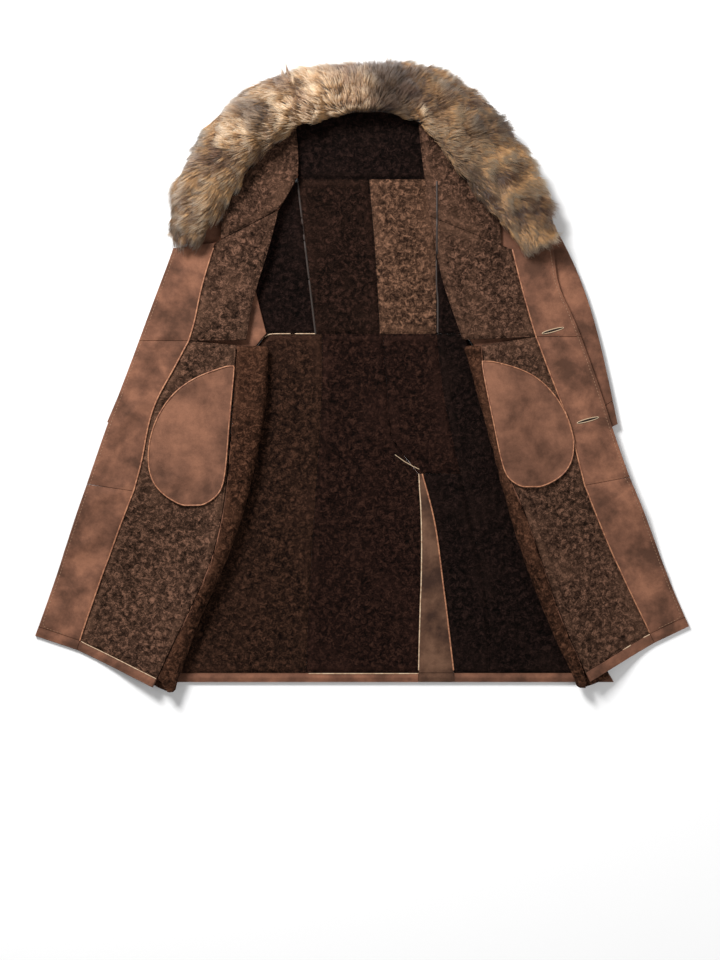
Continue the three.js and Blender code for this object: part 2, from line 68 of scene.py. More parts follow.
# Every sheet of the coat: its node, the finishes of its upper and lower face, and what it lies on.
SHEETS = {
    "back_upper_left": ("upper_wool", "suede", "table"),
    "back_upper_right": ("light_wool", "suede", "table"),
    "back_side_left": ("side_wool", "suede", "table"),
    "back_centre_left": ("dark_wool", "suede", "table"),
    "back_centre_right": ("dark_wool", "suede", "table"),
    # The right skirt and right side of the back lie in dark shade beside the right front's roll; their
    # near-black wool is painted shade.
    "back_skirt_right": ("inside_wool", "suede", "table"),
    "back_side_right": ("inside_wool", "suede", "table"),
    "vent_facing": ("vent_suede", "suede", "table"),
    "hem_back_left": ("suede", "suede", "table"),
    "hem_vent": ("vent_suede", "suede", "table"),
    "hem_back_right": ("suede", "suede", "table"),
    # The back neck strip lies under the collar; its near-black wool is painted shade.
    "stand_back": ("inside_wool", "suede", "table"),
}
for side in SIDES:
    SHEETS |= {
        # The under sleeves show inside the armholes; their near-black wool is painted shade.
        f"sleeve_{side}_under": ("inside_wool", "suede", "table"),
        f"cuff_{side}_under": ("suede", "suede", "table"),
        f"sleeve_{side}_top": ("suede", "dark_wool", f"sleeve_{side}_under"),
        f"cuff_{side}_top": ("suede", "suede", f"cuff_{side}_under"),
        f"front_side_{side}": ("warm_wool", "suede", f"back_side_{side}"),
        f"front_lower_{side}": ("front_wool", "suede", f"front_side_{side}"),
        f"front_upper_{side}": ("front_wool", "suede", f"sleeve_{side}_top"),
        f"facing_{side}_top": ("suede", "suede", f"sleeve_{side}_top"),
        f"facing_{side}_middle": ("suede", "suede", f"sleeve_{side}_top"),
        f"facing_{side}_lower": ("suede", "suede", "table"),
        f"hem_front_{side}": ("suede", "suede", f"front_side_{side}"),
        f"hem_facing_{side}": ("suede", "suede", "table"),
        f"stand_{side}": ("front_wool", "suede", f"sleeve_{side}_top"),
        f"pocket_bag_{side}": ("pocket_suede", "suede", f"front_lower_{side}"),
    }

# Soft creases in the laid coat. A row is the crease's two ends, its height and its width, in mm.
CREASES = [
    ((-60, 40), (-70, -300), 3.2, 16),
    ((10, -20), (-5, -420), 2.4, 13),
    ((150, -60), (205, -380), 3.0, 15),
    ((-130, -120), (-185, -470), 2.6, 18),
    ((60, 300), (72, 120), 2.2, 12),
    ((-40, 330), (-52, 140), 2.4, 14),
    ((-262, 20), (-395, -55), 2.2, 9),
    ((-290, -160), (-385, -205), 3.0, 12),
    ((228, -78), (372, -84), 3.2, 8),
    ((300, -140), (345, -205), 3.4, 9),
    ((300, -300), (440, -470), 3.6, 22),
    ((-330, -330), (-420, -520), 3.0, 20),
    ((-455, -330), (-560, -420), 2.2, 16),
    ((-380, 60), (-420, -60), 2.0, 12),
    ((380, 40), (430, -120), 1.8, 12),
    ((-240, 200), (-290, 110), 2.4, 13),
    ((205, 230), (260, 110), 2.4, 14),
    ((455, -180), (560, -420), 2.0, 15),
    ((-310, 210), (-375, 120), 3.0, 10),
    ((-345, 100), (-420, 20), 2.6, 9),
    ((-405, -30), (-470, -130), 3.0, 12),
    ((-430, -190), (-520, -250), 3.2, 13),
    ((-470, -280), (-575, -340), 2.8, 12),
    ((-540, -420), (-600, -470), 2.2, 10),
    ((310, 200), (385, 110), 3.0, 10),
    ((345, 60), (430, -20), 2.8, 9),
    ((400, -110), (475, -170), 3.0, 12),
    ((440, -210), (545, -250), 3.0, 12),
    ((500, -330), (590, -380), 2.8, 11),
    ((-300, 0), (-330, -190), 2.2, 18),
    ((290, 10), (300, -90), 2.4, 16),
    ((350, -20), (372, -150), 2.2, 14),
    ((-255, -180), (-300, -420), 3.4, 14),
    ((-225, -60), (-235, -220), 3.0, 12),
    ((280, -190), (340, -420), 3.4, 14),
    ((360, -410), (405, -540), 3.0, 14),
]


# ---- units, colours and nodes ---------------------------------------------------------------------------
def linear(colour):
    """An sRGB hex colour as linear RGBA. A setting's colour is linear already and is passed through."""
    if not isinstance(colour, str):
        return (*colour[:3], 1.0)
    parts = [int(colour[i : i + 2], 16) / 255 for i in (1, 3, 5)]
    return tuple(c / 12.92 if c <= 0.04045 else ((c + 0.055) / 1.055) ** 2.4 for c in parts) + (1.0,)


def add_node(tree, kind, settings=None, links=None):
    """Adds one shader node, sets its properties and input values, and links its inputs."""
    node = tree.nodes.new(kind)
    for key, value in (settings or {}).items():
        if isinstance(key, int) or key in node.inputs:
            node.inputs[key].default_value = value
        else:
            setattr(node, key, value)
    for key, socket in (links or {}).items():
        tree.links.new(socket, node.inputs[key])
    return node


def ramp(tree, factor, stops):
    """A colour ramp through (place, hex) stops."""
    node = add_node(tree, "ShaderNodeValToRGB", links={"Fac": factor})
    elements = node.color_ramp.elements
    while len(elements) < len(stops):
        elements.new(0.5)
    for element, (place, colour) in zip(elements, stops):
        element.position = place
        element.color = linear(colour)
    return node.outputs["Color"]


def mix_colour(tree, factor, a, b, blend="MIX"):
    """Two colours mixed. Each input is a value or another node's socket."""
    node = add_node(tree, "ShaderNodeMix", {"data_type": "RGBA", "blend_type": blend})
    for socket, value in zip((node.inputs[0], node.inputs[6], node.inputs[7]), (factor, a, b)):
        if isinstance(value, (int, float, tuple)):
            socket.default_value = value
        else:
            tree.links.new(value, socket)
    return node.outputs[2]


def noise_at(tree, vector, size_mm, detail=3.0, roughness=0.55, distortion=0.0):
    """Noise whose features are about size_mm across."""
    return add_node(
        tree,
        "ShaderNodeTexNoise",
        {"Scale": 1 / (size_mm * MM), "Detail": detail, "Roughness": roughness, "Distortion": distortion},
        {"Vector": vector},
    ).outputs["Fac"]


def new_material(name):
    """A new material, with its node tree, its shader and the place on the piece that patterns read."""
    material = bpy.data.materials.new(name)
    material.use_nodes = True
    tree = material.node_tree
    tree.nodes.clear()
    shader = add_node(tree, "ShaderNodeBsdfPrincipled")
    output = add_node(tree, "ShaderNodeOutputMaterial")
    tree.links.new(shader.outputs["BSDF"], output.inputs["Surface"])
    place = add_node(tree, "ShaderNodeTexCoord").outputs["Object"]
    return material, tree, shader, place


def add_bump(tree, shader, height, strength, high_mm):
    """Makes a pattern stand up to high_mm above the face."""
    settings = {"Strength": strength, "Distance": high_mm * MM}
    bump = add_node(tree, "ShaderNodeBump", settings, {"Height": height})
    tree.links.new(bump.outputs["Normal"], shader.inputs["Normal"])


# ---- materials ------------------------------------------------------------------------------------------
def make_wool(name, gap_shade, body, tip, wear_and_highlight_tint, sheen):
    """Clipped sheepskin wool, ironed and sheared to about 5 mm. Its crimped locks stand 4 to 8 mm apart, so
    the eye sees soft matt clumps with lighter tips and painted shade in the gaps between them.
    Rubbed patches come out lighter at random, and a painted highlight lightens the raised wool beside each
    seam."""
    material, tree, shader, place = new_material(name)
    drift = add_node(tree, "ShaderNodeTexNoise", {"Scale": 1 / (14 * MM), "Detail": 2.0}, {"Vector": place})
    ends = {0: drift.outputs["Color"], 2: place}
    bent = add_node(tree, "ShaderNodeVectorMath", {"operation": "MULTIPLY_ADD", 1: (6 * MM,) * 3}, ends)
    where = bent.outputs["Vector"]
    locks = noise_at(tree, where, 9, detail=4.0, roughness=0.72, distortion=0.6)
    fleece = noise_at(tree, where, 3.2, detail=3.0, roughness=0.7)
    patches = noise_at(tree, place, 95, detail=3.0, roughness=0.5, distortion=0.4)
    both = add_node(tree, "ShaderNodeMath", {"operation": "MULTIPLY_ADD", 1: 0.45}, {0: fleece, 2: locks})
    # Low places of the lock pattern, which the bump sinks, take the darkest colour: painted shade between the
    # locks.
    colour = ramp(tree, both.outputs[0], [(0.56, gap_shade), (0.73, body), (0.9, tip)])
    # Near each seam the raised wool takes a painted highlight, read from a strip that the panel carries.
    ridge_highlight = add_node(tree, "ShaderNodeAttribute", {"attribute_name": "ridge_highlight"}).outputs["Fac"]
    # The painted highlight beside the seams is added to the random rubbed patches; both then take the lighter
    # colour.
    brushed = add_node(tree, "ShaderNodeMath", {"operation": "MULTIPLY_ADD", 1: 0.22}, {0: ridge_highlight, 2: patches})
    wear_and_highlight_range = {"From Min": 0.5, "From Max": 0.8}
    wear_and_highlight = add_node(tree, "ShaderNodeMapRange", wear_and_highlight_range, {"Value": brushed.outputs[0]})
    wear_and_highlight_colour = mix_colour(tree, wear_and_highlight.outputs[0], colour, mix_colour(tree, 0.42, colour, linear(wear_and_highlight_tint)))
    tree.links.new(wear_and_highlight_colour, shader.inputs["Base Color"])
    add_bump(tree, shader, both.outputs[0], 1.0, 4.5)
    shader.inputs["Roughness"].default_value = 0.95
    shader.inputs["Specular IOR Level"].default_value = 0.05
    shader.inputs["Sheen Weight"].default_value = sheen
    shader.inputs["Sheen Roughness"].default_value = 0.55
    shader.inputs["Sheen Tint"].default_value = linear(wear_and_highlight_tint)
    return material


def make_suede(name, dark, body, light, blotch_mm):
    """Napped sheepskin suede, buffed with a wire brush. Its short nap is matt and lies in soft lighter and
    darker strokes, with darker blotches where it is handled. The nap is drawn 2.5 mm coarse to show."""
    material, tree, shader, place = new_material(name)
    blotches = noise_at(tree, place, blotch_mm, detail=5.0, roughness=0.62, distortion=0.15)
    nap = noise_at(tree, place, 2.5, detail=2.0, roughness=0.6)
    mottle = noise_at(tree, place, 11, detail=3.0, roughness=0.6)
    colour = ramp(tree, blotches, [(0.36, dark), (0.5, body), (0.64, light)])
    spots = ramp(tree, mottle, [(0.3, "#5c5c5c"), (0.7, "#a8a8a8")])
    spotted = mix_colour(tree, 0.22, colour, spots, "OVERLAY")
    strokes = ramp(tree, nap, [(0.3, "#606060"), (0.7, "#a0a0a0")])
    fine = mix_colour(tree, 0.25, spotted, strokes, "OVERLAY")
    tree.links.new(fine, shader.inputs["Base Color"])
    high = add_node(tree, "ShaderNodeMath", {"operation": "MULTIPLY_ADD", 1: 0.5}, {0: nap, 2: mottle})
    add_bump(tree, shader, high.outputs[0], 0.5, 0.9)
    shader.inputs["Roughness"].default_value = 0.88
    shader.inputs["Specular IOR Level"].default_value = 0.25
    shader.inputs["Sheen Weight"].default_value = 0.25
    shader.inputs["Sheen Roughness"].default_value = 0.5
    shader.inputs["Sheen Tint"].default_value = linear(light)
    return material


def make_piping(name, dark, light):
    """A narrow bias strip of skiver leather folded over a cord. It is smoother than suede, so it shows as a
    thin lighter line with a soft highlight, its tone uneven along it."""
    material, tree, shader, place = new_material(name)
    uneven = noise_at(tree, place, 7, detail=3.0)
    tree.links.new(ramp(tree, uneven, [(0.35, dark), (0.65, light)]), shader.inputs["Base Color"])
    shader.inputs["Roughness"].default_value = 0.6
    return material


def make_thread(name, colour):
    """Waxed polyester thread, twisted from three plies: pale, round and slightly glossy."""
    material, _, shader, _ = new_material(name)
    shader.inputs["Base Color"].default_value = linear(colour)
    shader.inputs["Roughness"].default_value = 0.5
    return material


def make_slit(name):
    """The unlit gap of a cut buttonhole, which shows as a black line."""
    material, _, shader, _ = new_material(name)
    shader.inputs["Base Color"].default_value = linear("#080504")
    shader.inputs["Roughness"].default_value = 1.0
    return material


def make_horn(name):
    """Turned and polished buffalo horn: dark brown with soft streaks and a low gloss."""
    material, tree, shader, place = new_material(name)
    streaks = noise_at(tree, place, 6, detail=4.0, distortion=1.5)
    tree.links.new(ramp(tree, streaks, [(0.35, "#1c120c"), (0.7, "#5a3c26")]), shader.inputs["Base Color"])
    shader.inputs["Roughness"].default_value = 0.32
    return material


def make_hair(name):
    """Raccoon-like guard hair over its underfur: dark at the skin, brown in the middle and pale at the tip,
    with a soft sheen along each hair. The strand's own attribute gives the place along it and its tone."""
    material, tree, shader, _ = new_material(name)
    strand = add_node(tree, "ShaderNodeAttribute", {"attribute_name": "strand"})
    parts = add_node(tree, "ShaderNodeSeparateColor", links={"Color": strand.outputs["Color"]})
    along, tone, patch = parts.outputs[0], parts.outputs[1], parts.outputs[2]
    pale = ramp(tree, along, [(0.0, "#1a0f08"), (0.35, "#5a3820"), (0.58, "#c0925e"), (1.0, "#ffedd0")])
    brown = ramp(tree, along, [(0.0, "#0e0704"), (0.5, "#3a2213"), (0.8, "#74492a"), (1.0, "#b07c4c")])
    colour = mix_colour(tree, tone, brown, pale)
    dark = ramp(tree, along, [(0.0, "#120b07"), (0.6, "#38241a"), (1.0, "#5e4130")])
    tree.links.new(mix_colour(tree, patch, colour, dark), shader.inputs["Base Color"])
    shader.inputs["Roughness"].default_value = 0.55
    shader.inputs["Specular IOR Level"].default_value = 0.4
    shader.inputs["Sheen Weight"].default_value = 0.2
    return material


def make_underfur(name):
    """Dense underfur between the guard hairs, brushed flat: dull brown with darker partings."""
    material, tree, shader, place = new_material(name)
    lie = noise_at(tree, place, 8, detail=4.0, distortion=0.5)
    tree.links.new(ramp(tree, lie, [(0.35, "#23170f"), (0.7, "#5f4229")]), shader.inputs["Base Color"])
    add_bump(tree, shader, lie, 0.8, 3)
    shader.inputs["Roughness"].default_value = 0.95
    return material


# Each wool: its name, its painted shade between the locks, its colours on them and at their tips, its colour
# for rubbed patches and the painted highlight beside the seams, and its sheen.
WOOLS = {
    # The right upper back panel's wool is drawn several times lighter than the left one's.
    "upper_wool": ("Wool clipped brown mottled", "#060302", "#1b100b", "#38241d", "#2f1e17", 0.04),
    "light_wool": ("Wool clipped grey brown light", "#190f0a", "#463125", "#825e49", "#70503e", 0.12),
    "warm_wool": ("Wool clipped warm brown", "#110804", "#342016", "#624130", "#543728", 0.05),
    "side_wool": ("Wool clipped brown", "#0a0403", "#251710", "#493024", "#3e281e", 0.04),
    "front_wool": ("Wool clipped front", "#160d08", "#3f2c22", "#765544", "#654939", 0.12),
    "dark_wool": ("Wool clipped chocolate", "#060302", "#1c0f0b", "#39241c", "#301d17", 0.02),
    # Near-black wool that paints the shade beside the right front's roll, inside the armholes and under the
    # collar.
    "inside_wool": ("Wool clipped painted shade near black", "#030201", "#120a08", "#291b17", "#221612", 0.01),
}
MATERIALS = {}


def make_finish(key):
    """The material for a finish. The colours that a user would change come from the settings."""
    if key in WOOLS:
        return make_wool(*WOOLS[key])
    chosen = bpy.context.scene.coat
    others = {
        "suede": (make_suede, "Suede brown napped", "#563829", chosen.suede, "#94644c", 60),
        "vent_suede": (make_suede, "Suede vent facing", "#3a2419", "#573b2b", "#6f4f3c", 50),
        "pocket_suede": (make_suede, "Suede pocket bag", "#553728", chosen.pocket_suede, "#8f614a", 75),
        "piping": (make_piping, "Skiver leather piping", "#7a4a34", chosen.piping_colour),
        "pale_piping": (make_piping, "Skiver leather pale edge", "#a58468", "#cdb293"),
        "seam": (make_piping, "Overcast pelt edge", "#1d120b", "#2e1d13"),
        "thread": (make_thread, "Polyester thread pale", chosen.thread),
        "brown_thread": (make_thread, "Polyester thread brown", "#8d6a50"),
        "slit": (make_slit, "Buttonhole slit"),
        "horn": (make_horn, "Buffalo horn polished"),
        "hair": (make_hair, "Guard hair"),
        "underfur": (make_underfur, "Underfur brushed"),
    }
    make, *given = others[key]
    return make(*given)


def finish(key):
    """The material for a finish, made once."""
    if key not in MATERIALS:
        MATERIALS[key] = make_finish(key)
    return MATERIALS[key]


# ---- shared shaping -------------------------------------------------------------------------------------
def deselect_all():
    if bpy.context.object and bpy.context.object.mode != "OBJECT":
        bpy.ops.object.mode_set(mode="OBJECT")
    bpy.ops.object.select_all(action="DESELECT")


def make_active(obj):
    deselect_all()
    obj.select_set(True)
    bpy.context.view_layer.objects.active = obj


def points_of(mesh):
    flat = np.empty(len(mesh.vertices) * 3)
    mesh.vertices.foreach_get("co", flat)
    return flat.reshape(-1, 3)


def normals_of(mesh):
    flat = np.empty(len(mesh.vertices) * 3)
    mesh.vertices.foreach_get("normal", flat)
    return flat.reshape(-1, 3)


def put_points(mesh, points):
    mesh.vertices.foreach_set("co", np.ascontiguousarray(points).ravel())
    mesh.update()


def smooth_shade(mesh):
    mesh.polygons.foreach_set("use_smooth", [True] * len(mesh.polygons))


def unit(vectors):
    """Each row at length one."""
    return vectors / np.maximum(np.linalg.norm(vectors, axis=1), 1e-9)[:, None]


def place_object(name, mesh):
    obj = bpy.data.objects.new(name, mesh)
    bpy.context.scene.collection.objects.link(obj)
    return obj


def swell(points):
    """How far the creases lift each point. All the layers at a place take the same rise."""
    rise = np.zeros(len(points))
    for start, end, high, wide in CREASES:
        a = np.array(start) * MM
        b = np.array(end) * MM
        along = (points[:, :2] - a) @ (b - a) / ((b - a) @ (b - a))
        wander = 0.35 * wide * MM * np.sin(7 * along + 3 * a[0] / 0.1)
        normal = np.array([-(b - a)[1], (b - a)[0]]) / np.linalg.norm(b - a)
        off = (points[:, :2] - a) @ normal - wander
        ends = np.clip(np.minimum(along, 1 - along) * 4 + 0.15, 0, 1)
        rise += high * MM * np.exp(-((off / (wide * MM)) ** 2)) * ends**1.5
    return rise


def lumps(points, size_mm, seed):
    """Smooth noise from -1 to 1 at each point, with features about size_mm across."""
    scale = 1 / (size_mm * MM)
    shift = Vector((seed * 7.31, seed * 3.17, seed * 1.93))
    return np.array([noise.noise(Vector(p) * scale + shift) for p in points])


def merged_copy(node, name):
    """A copy of a CAD node's mesh with its doubles merged and its triangles joined, under a new name."""
    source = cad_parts[node]
    mesh = source.data.copy()
    mesh.name = name
    work = bmesh.new()
    work.from_mesh(mesh)
    bmesh.ops.remove_doubles(work, verts=work.verts, dist=0.02 * MM)
    bmesh.ops.join_triangles(
        work, faces=work.faces, angle_face_threshold=math.radians(25), angle_shape_threshold=math.radians(60)
    )
    work.to_mesh(mesh)
    work.free()
    mesh.materials.clear()
    return place_object(name, mesh)


def turn_between(vert, first, second):
    """How far a line turns at a vertex, from one edge to the next."""
    a = vert.co - first.other_vert(vert).co
    b = second.other_vert(vert).co - vert.co
    return a.angle(b, 0.0)


def crease_rims(obj, sharp):
    """Creases the rims and the corners of a panel, so that it stays as large as its solid when rounded."""
    work = bmesh.new()
    work.from_mesh(obj.data)
    edges = work.edges.layers.float.new("crease_edge")
    corners = work.verts.layers.float.new("crease_vert")
    for edge in work.edges:
        if len(edge.link_faces) == 2 and edge.calc_face_angle(0) > math.radians(52):
            edge[edges] = 1.0
    for vert in work.verts:
        rims = [e for e in vert.link_edges if e[edges] > 0.5]
        if len(rims) >= 3 or (len(rims) == 2 and turn_between(vert, *rims) > sharp):
            vert[corners] = 1.0
    work.to_mesh(obj.data)
    work.free()


def refine(obj, spacing, thickness):
    """Cuts the panel's faces down to about the given spacing, and leaves its rim's height alone."""
    work = bmesh.new()
    work.from_mesh(obj.data)
    work.normal_update()
    rim_step = thickness / 4  # the rounding cuts the rim's height in four
    long_edges = [e for e in work.edges if e.calc_length() > rim_step * 1.3]
    if not long_edges:
        work.free()
        return
    mean = sum(e.calc_length() for e in long_edges) / len(long_edges)
    cuts = max(0, min(6, round(mean / spacing) - 1))
    if cuts:
        bmesh.ops.subdivide_edges(work, edges=long_edges, cuts=cuts, use_grid_fill=True)
    work.to_mesh(obj.data)
    work.free()


def rim_of(mesh):
    """The vertices on a panel's sharp rims."""
    rim = set()
    for edge in mesh.edges:
        if edge.use_edge_sharp:
            rim.update(edge.vertices)
    return rim


def rim_distance(obj, reach):
    """How far each vertex is from the panel's rim, up to reach."""
    points = points_of(obj.data)
    rim = rim_of(obj.data)
    distance = np.full(len(points), reach)
    if not rim:
        return distance
    tree = KDTree(len(rim))
    for i in rim:
        tree.insert(points[i], i)
    tree.balance()
    for i, p in enumerate(points):
        distance[i] = min(reach, tree.find(p)[2])
    return distance


def mark_sharp_rims(obj):
    work = bmesh.new()
    work.from_mesh(obj.data)
    for edge in work.edges:
        edge.smooth = not (len(edge.link_faces) == 2 and edge.calc_face_angle(0) > math.radians(48))
    work.to_mesh(obj.data)
    work.free()


def round_panel(obj):
    modifier = obj.modifiers.new("rounding", "SUBSURF")
    modifier.levels = modifier.render_levels = 2
    modifier.boundary_smooth = "PRESERVE_CORNERS"
    make_active(obj)
    bpy.ops.object.modifier_apply(modifier=modifier.name)


def sort_faces(obj, upper, lower, rolled):
    """Gives each face the finish of its side. A rolled panel's lower side is the one that faces itself."""
    mesh = obj.data
    mesh.materials.append(finish(upper))
    mesh.materials.append(finish(lower))
    tree = BVHTree.FromObject(obj, bpy.context.evaluated_depsgraph_get()) if rolled else None
    index = []
    for polygon in mesh.polygons:
        if rolled:
            start = Vector(polygon.center) + polygon.normal * 0.4 * MM
            hit = tree.ray_cast(start, polygon.normal, WIDEST_ROLL)[0]
            index.append(1 if hit is not None else 0)
        else:
            index.append(1 if polygon.normal.z < -0.35 else 0)
    mesh.polygons.foreach_set("material_index", index)
    smooth_shade(mesh)
    mesh.update()


def flat_cut(node):
    """The flat width, length and area of a node's cut, in metres, from the upper half of its solid."""
    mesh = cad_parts[node].data
    points = points_of(mesh)[:, :2]
    centred = points - points.mean(axis=0)
    _, _, turn = np.linalg.svd(centred, full_matrices=False)
    spread = centred @ turn.T
    size = spread.max(axis=0) - spread.min(axis=0)
    area = sum(p.area for p in mesh.polygons) / 2
    length, width = max(size), min(size)
    width = max(width, area / length)
    return float(width), float(length), float(area)


def dress_sheet(node, settings):
    """Makes one panel of the coat on its solid's form."""
    upper, lower, under = SHEETS[node]
    thickness = BAG if node.startswith("pocket") else PELT
    rolled = node.startswith("front_side")
    obj = merged_copy(node, f"{node}_cloth")
    crease_rims(obj, math.radians(70 if thickness == BAG else 24))
    round_panel(obj)
    refine(obj, settings.spacing, thickness)
    mark_sharp_rims(obj)
    points = points_of(obj.data)
    normals = normals_of(obj.data)
    distance = rim_distance(obj, 22 * MM)
    wool = "wool" in upper
    depth = settings.seam_depth * (1.0 if wool else 0.4) * (0.3 if thickness == BAG else 1.0)
    groove = np.exp(-((distance / (4 * MM)) ** 2))
    beside = np.exp(-(((distance - 10 * MM) / (4 * MM)) ** 2))
    dip = depth * (groove - 0.5 * beside)
    if wool:
        seed = sum(ord(c) for c in node) % 17
        unevenness = 1.3 * MM * lumps(points, 24, seed) + 1.1 * MM * lumps(points, 11, seed + 1)
        unevenness = unevenness * np.clip(distance / (6 * MM), 0, 1)
    else:
        unevenness = 0.35 * MM * lumps(points, 34, 3) * np.clip(distance / (6 * MM), 0, 1)
    if rolled:
        outward = np.ones(len(points))
    else:
        outward = (normals[:, 2] > 0.2).astype(float)
    # A patchy strip about 8 mm in from each seam, where the wool stands raised, carries the painted
    # highlight.
    if wool:
        patchy = np.clip(0.75 + 0.5 * lumps(points, 40, seed + 2), 0, 1)
        ridge_highlight_band = np.exp(-(((distance - 8 * MM) / (5 * MM)) ** 2)) * patchy
        layer = obj.data.attributes.new("ridge_highlight", "FLOAT", "POINT")
        layer.data.foreach_set("value", ridge_highlight_band)
    moved = points + normals * ((unevenness - dip) * outward)[:, None]
    moved[:, 2] += swell(points)
    put_points(obj.data, moved)
    sort_faces(obj, upper, lower, rolled)
    width, length, area = flat_cut(node)
    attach(obj, "root")
    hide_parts(node)
    return obj


# ---- lines along the seams ------------------------------------------------------------------------------
def cloth(node):
    obj = bpy.data.objects.get(f"{node}_cloth")
    if obj is None:
        raise RuntimeError(f"{node} has to be dressed first")
    return obj


def upper_surface(names):
    """One tree of the named panels, to lay trim on."""
    points, faces = [], []
    for name in names:
        mesh = cloth(name).data
        start = len(points)
        points.extend(v.co.copy() for v in mesh.vertices)
        faces.extend([start + i for i in p.vertices] for p in mesh.polygons)
    return BVHTree.FromPolygons(points, faces)


def drop(tree, x, y, lift=0.0):
    """The point of the panels below (x, y), lifted. Over a seam's gap it takes the height beside it."""
    hit = tree.ray_cast(Vector((x, y, ABOVE_ALL)), Vector((0, 0, -1)))[0]
    if hit is None:
        hit = tree.find_nearest(Vector((x, y, GAP_HEIGHT)))[0]
    return Vector((x, y, hit.z + lift))


def seam_between(first, second, reach=1.6 * MM):
    """Points along the seam between two panels, from the top of the coat down."""
    other = upper_surface([second])
    places = [v.co.copy() for v in cloth(first).data.vertices]
    found = [p for p in places if other.find_nearest(p, reach)[0] is not None]
    xs, ys = [p.x for p in found], [p.y for p in found]
    wide = max(xs) - min(xs) > max(ys) - min(ys)
    found.sort(key=lambda p: p.x if wide else -p.y)
    line = []
    for p in found:
        if not line or (line[-1] - p).length > 9 * MM:
            line.append(p)
    return line


def fine_line(points, step):
    """The points joined by a smooth line and set out at even steps."""
    between = [(a + b * 2 + c) / 4 for a, b, c in zip(points, points[1:], points[2:])]
    smooth = [points[0], *between, points[-1]]
    gaps = [0.0]
    for a, b in zip(smooth, smooth[1:]):
        gaps.append(gaps[-1] + (b - a).length)
    count = max(2, int(gaps[-1] / step) + 1)
    out, k = [], 0
    for i in range(count):
        at = gaps[-1] * i / (count - 1)
        while k + 2 < len(gaps) and gaps[k + 1] < at:
            k += 1
        span = max(gaps[k + 1] - gaps[k], 1e-9)
        out.append(smooth[k].lerp(smooth[k + 1], (at - gaps[k]) / span))
    return out


def lay_on(tree, points, lift):
    return [drop(tree, p.x, p.y, lift) for p in points]


def tube(name, points, radius, material):
    """A thin tube along points, as a closed mesh."""
    deselect_all()
    bpy.ops.curve.primitive_nurbs_path_add()
    obj = bpy.context.object
    obj.name = name
    curve = obj.data
    curve.splines.clear()
    spline = curve.splines.new("POLY")
    spline.points.add(len(points) - 1)
    above = [(p[0], p[1], max(p[2], radius)) for p in points]  # the trim lies on the surface at its lowest
    spline.points.foreach_set("co", [c for p in above for c in (*p, 1.0)])
    curve.bevel_depth = radius
    curve.bevel_resolution = 1
    curve.use_fill_caps = True
    bpy.ops.object.convert(target="MESH")
    obj = bpy.context.object
    obj.location = (0, 0, 0)
    obj.data.materials.clear()
    obj.data.materials.append(finish(material))
    smooth_shade(obj.data)
    return obj


def keep(obj):
    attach(obj, "root")
    return obj


def join(objects, name):
    deselect_all()
    for obj in objects:
        obj.select_set(True)
    bpy.context.view_layer.objects.active = objects[0]
    bpy.ops.object.join()
    objects[0].name = name
    objects[0].data.name = name
    return objects[0]


def stitch_row(name, tree, line, length):
    """A row of brown stitches along a line: one modelled stitch, copied at steps of one and a half of it."""
    thick = 0.9 * MM
    deselect_all()
    bpy.ops.mesh.primitive_cylinder_add(vertices=6, radius=thick / 2, depth=length, end_fill_type="TRIFAN")
    model = bpy.context.object
    bpy.ops.object.mode_set(mode="EDIT")
    bpy.ops.mesh.select_all(action="SELECT")
    bpy.ops.mesh.subdivide(number_cuts=1)
    bpy.ops.object.mode_set(mode="OBJECT")
    shape = model.data
    base = points_of(shape)
    base[:, 0] += -0.35 * thick * (base[:, 2] / (length / 2)) ** 2
    faces = [list(p.vertices) for p in shape.polygons]
    points = fine_line(line, length * 1.5)
    all_points, all_faces = [], []
    for a, b in zip(points, points[1:]):
        middle = drop(tree, (a.x + b.x) / 2, (a.y + b.y) / 2, 0.1 * MM)
        ahead = (b - a).normalized()
        turn = ahead.to_track_quat("Z", "X").to_matrix()
        up = turn @ Vector((1, 0, 0))
        if up.z < 0:
            turn = turn @ Matrix.Rotation(math.pi, 3, "Z")
        placed = base @ np.array(turn).T + np.array(middle)
        start = len(all_points)
        all_points.extend(placed.tolist())
        all_faces.extend([[start + i for i in f] for f in faces])
    bpy.data.objects.remove(model)
    mesh = bpy.data.meshes.new(name)
    mesh.from_pydata(all_points, [], all_faces)
    mesh.materials.append(finish("brown_thread"))
    smooth_shade(mesh)
    return place_object(name, mesh)


# ---- fur ------------------------------------------------------------------------------------------------
# The collar's middle line, from its left end round the neck to its right end, in mm.
COLLAR_LINE = [
    (-318, 264), (-310, 302), (-282, 367), (-238, 432), (-170, 494), (-80, 524), (10, 532),
    (95, 529), (166, 484), (220, 422), (268, 354), (305, 300), (322, 260),
]


def nearest_on_collar(points):
    """The nearest point of the collar's middle line to each point, seen from above."""
    line = np.array(COLLAR_LINE) * MM
    best = np.full(len(points), np.inf)
    nearest = np.zeros((len(points), 2))
    for a, b in zip(line, line[1:]):
        along = np.clip((points[:, :2] - a) @ (b - a) / ((b - a) @ (b - a)), 0, 1)
        near = a + along[:, None] * (b - a)
        gap = np.linalg.norm(points[:, :2] - near, axis=1)
        closer = gap < best
        best[closer], nearest[closer] = gap[closer], near[closer]
    return nearest


def fur_flow(p, centre):
    """The way the hair lies at a point: outwards from the neck, swept towards the collar's ends."""
    out = Vector((p.x - centre.x, p.y - centre.y, 0))
    out = out.normalized() if out.length > 1e-6 else Vector((0, 1, 0))
    sweep = Vector((out.y, -out.x, 0)) * math.tanh((p.x - centre.x) / (90 * MM))
    return (out * 0.8 + sweep * 0.55).normalized()


def nearest_lock(roots, centres):
    """The hair at the centre of each hair's own lock."""
    tree = KDTree(len(centres))
    for i in centres:
        tree.insert(roots[i], int(i))
    tree.balance()
    return np.array([tree.find(p)[1] for p in roots])


def noise_field(points, size_mm, shift=(0, 0, 0)):
    """Noise at each point, with features about size_mm across."""
    return np.array([noise.noise(Vector(p) / (size_mm * MM) + Vector(shift)) for p in points])


